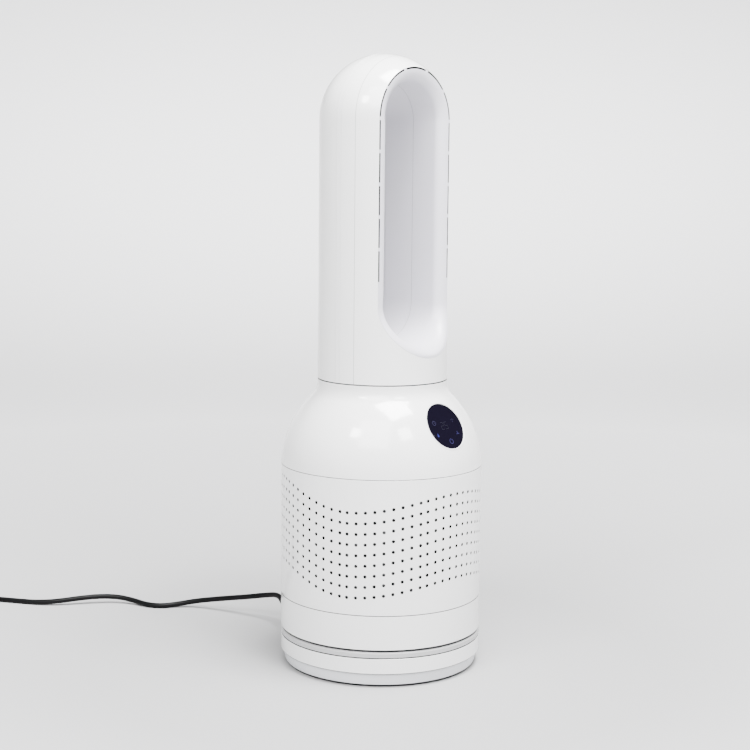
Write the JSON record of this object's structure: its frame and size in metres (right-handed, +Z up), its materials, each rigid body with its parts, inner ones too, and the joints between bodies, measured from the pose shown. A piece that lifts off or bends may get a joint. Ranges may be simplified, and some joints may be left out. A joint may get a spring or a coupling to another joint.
{
  "type": "bladeless tower air purifier",
  "caption": "Bladeless tower air purifier: round perforated filter body with a domed shoulder and touch display, slim arched head with a through opening, on an oscillating base.",
  "frame": {"origin": "on the floor under the centre of the round base", "axes": "+Z up along the turning axis, -Y towards the front with the air outlet slot and the display, +Y towards the cord exit"},
  "size_m": [0.3626, 0.6314, 0.6324],
  "materials": {
    "acetal": "moulded acetal",
    "bezel": "gloss moulded",
    "brass_pins": "plated",
    "carbon": "granular",
    "cast_weight": "cast",
    "circuit_green": "solder mask",
    "component_dark": "moulded",
    "copper_wound": "enamelled",
    "cord_black": "smooth",
    "dark_plastic": "moulded",
    "display_black": "polished",
    "filter_media": "pleated",
    "inner_plastic": "moulded",
    "led_blue": "clear moulded",
    "liner_white": "satin moulded",
    "mesh_grey": "woven",
    "rubber_grey": "moulded",
    "screw_steel": "zinc plated",
    "seal_foam": "foam",
    "shell_white": "gloss moulded",
    "steel": "turned",
    "trim_white": "satin moulded"
  },
  "bodies": {
    "base": {"foot_plate": "trim_white", "rubber_feet": "rubber_grey", "base_shell": "shell_white", "base_weight": "cast_weight", "turntable_ring": "trim_white", "glide_ring": "acetal", "pivot_bush": "acetal", "oscillation_motor": "steel", "motor_screws": "screw_steel", "base_screws": "screw_steel", "cord_gland": "cord_black", "power_cord": "cord_black", "cord_coil": "cord_black", "power_plug": "cord_black", "plug_pins": "brass_pins"},
    "pinion": {"drive_pinion": "acetal"},
    "tower": {"lower_housing": "shell_white", "pivot_hub": "inner_plastic", "tower_gear": "acetal", "gear_retainer": "acetal", "hub_screws": "screw_steel", "power_board": "circuit_green", "power_board_parts": "component_dark", "filter_tray": "inner_plastic", "tower_cage": "dark_plastic", "filter_lower_cap": "inner_plastic", "filter_upper_cap": "inner_plastic", "hepa_media": "filter_media", "prefilter_mesh": "mesh_grey", "carbon_core": "carbon", "filter_seal": "seal_foam", "filter_cover": "shell_white", "inlet_bellmouth": "inner_plastic", "shoulder_housing": "shell_white", "display_tray": "dark_plastic", "display_board": "circuit_green", "display_leds": "led_blue", "display_lens": "display_black", "display_bezel": "bezel", "diffuser_housing": "inner_plastic", "motor_housing": "steel", "motor_stator": "copper_wound", "motor_bearings": "steel", "diffuser_tailcone": "inner_plastic", "control_board": "circuit_green", "control_board_parts": "component_dark", "ioniser_module": "dark_plastic", "air_sensor": "dark_plastic", "head_collar": "inner_plastic", "collar_screws": "screw_steel", "head_front_shell": "shell_white", "head_rear_shell": "shell_white", "head_side_trim": "trim_white", "head_front_liner": "liner_white", "head_rear_liner": "liner_white"},
    "fan_rotor": {"fan_impeller": "dark_plastic", "motor_shaft": "steel", "motor_rotor": "steel", "impeller_nut": "screw_steel"}
  },
  "joints": [
    {"name": "oscillation", "type": "hinge", "parent": "base", "child": "tower", "pos_m": [0, 0, 0.038], "axis": [0, 0, 1], "range_deg": [-40, 40]},
    {"name": "pinion_spin", "type": "hinge", "parent": "base", "child": "pinion", "pos_m": [0.042, 0, 0.0216], "axis": [0, 0, 1], "range_deg": [-202, 202]},
    {"name": "fan_spin", "type": "hinge", "parent": "tower", "child": "fan_rotor", "pos_m": [0, 0, 0.23], "axis": [0, 0, 1], "continuous": true}
  ],
  "couplings": [
    {"joint": "pinion_spin", "follows": "oscillation", "ratio": -5}
  ]
}
